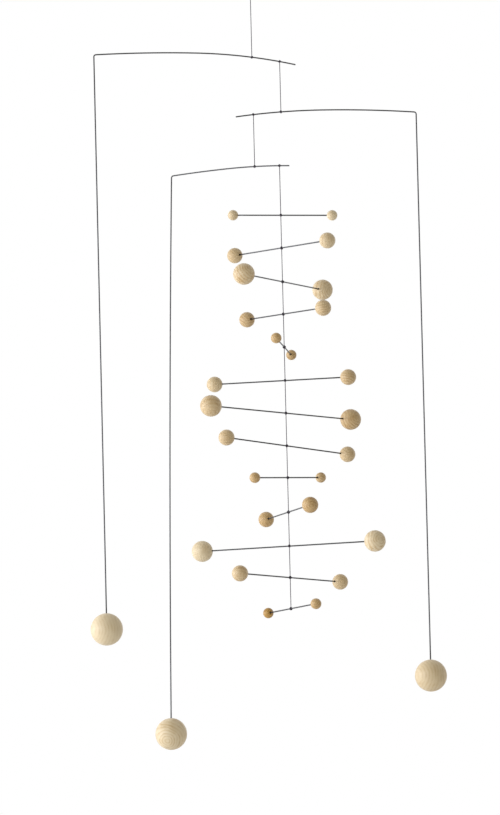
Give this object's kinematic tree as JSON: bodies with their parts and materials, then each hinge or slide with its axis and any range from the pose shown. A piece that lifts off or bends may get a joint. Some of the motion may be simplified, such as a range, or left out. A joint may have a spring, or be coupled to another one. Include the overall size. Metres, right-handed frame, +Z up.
{
  "type": "hanging mobile",
  "caption": "Hanging mobile: bent wire arms, each with a wooden ball on a long leg, carry a string of straight rods with a ball at each end.",
  "frame": {"origin": "where the top loop bears on the hook that it hangs from", "axes": "+Z up along the hanging thread, +X towards the middle arm's leg, +Y away from a viewer in front"},
  "size_m": [0.3311, 0.1694, 0.7346],
  "materials": {
    "wood": "turned beech, unvarnished and matt, with fine growth rings",
    "wire": "dark drawn spring steel wire with a soft sheen",
    "thread": "thin dark twisted thread"
  },
  "bodies": {
    "hanger": {"hanging_thread": "thread"},
    "top_arm": {"top_arm_knot": "thread", "top_arm_wire": "wire", "top_arm_ball": "wood", "upper_link_thread": "thread"},
    "middle_arm": {"middle_arm_knot": "thread", "middle_arm_wire": "wire", "middle_arm_ball": "wood", "lower_link_thread": "thread"},
    "lower_arm": {"lower_arm_knot": "thread", "lower_arm_wire": "wire", "lower_arm_ball": "wood", "rod_thread_knot": "thread"},
    "rod_string": {"rod_thread": "thread", "rod_01_wire": "wire", "rod_01_left_ball": "wood", "rod_01_right_ball": "wood", "rod_02_wire": "wire", "rod_02_left_ball": "wood", "rod_02_right_ball": "wood", "rod_03_wire": "wire", "rod_03_left_ball": "wood", "rod_03_right_ball": "wood", "rod_04_wire": "wire", "rod_04_left_ball": "wood", "rod_04_right_ball": "wood", "rod_05_wire": "wire", "rod_05_left_ball": "wood", "rod_05_right_ball": "wood", "rod_06_wire": "wire", "rod_06_left_ball": "wood", "rod_06_right_ball": "wood", "rod_07_wire": "wire", "rod_07_left_ball": "wood", "rod_07_right_ball": "wood", "rod_08_wire": "wire", "rod_08_left_ball": "wood", "rod_08_right_ball": "wood", "rod_09_wire": "wire", "rod_09_left_ball": "wood", "rod_09_right_ball": "wood", "rod_10_wire": "wire", "rod_10_left_ball": "wood", "rod_10_right_ball": "wood", "rod_11_wire": "wire", "rod_11_left_ball": "wood", "rod_11_right_ball": "wood", "rod_12_wire": "wire", "rod_12_left_ball": "wood", "rod_12_right_ball": "wood", "rod_13_wire": "wire", "rod_13_left_ball": "wood", "rod_13_right_ball": "wood"}
  },
  "joints": [
    {"name": "top_arm_swivel", "type": "hinge", "parent": "hanger", "child": "top_arm", "pos_m": [0, 0, -0.0756], "axis": [0, 0, 1], "continuous": true},
    {"name": "middle_arm_swivel", "type": "hinge", "parent": "top_arm", "child": "middle_arm", "pos_m": [0.02659, 0.00469, -0.12873], "axis": [0, 0, 1], "continuous": true},
    {"name": "lower_arm_swivel", "type": "hinge", "parent": "middle_arm", "child": "lower_arm", "pos_m": [0.00011, 0.00376, -0.1816], "axis": [0, 0, 1], "continuous": true},
    {"name": "rod_string_swivel", "type": "hinge", "parent": "lower_arm", "child": "rod_string", "pos_m": [0.02375, -0.00579, -0.18335], "axis": [0, 0, 1], "continuous": true}
  ]
}
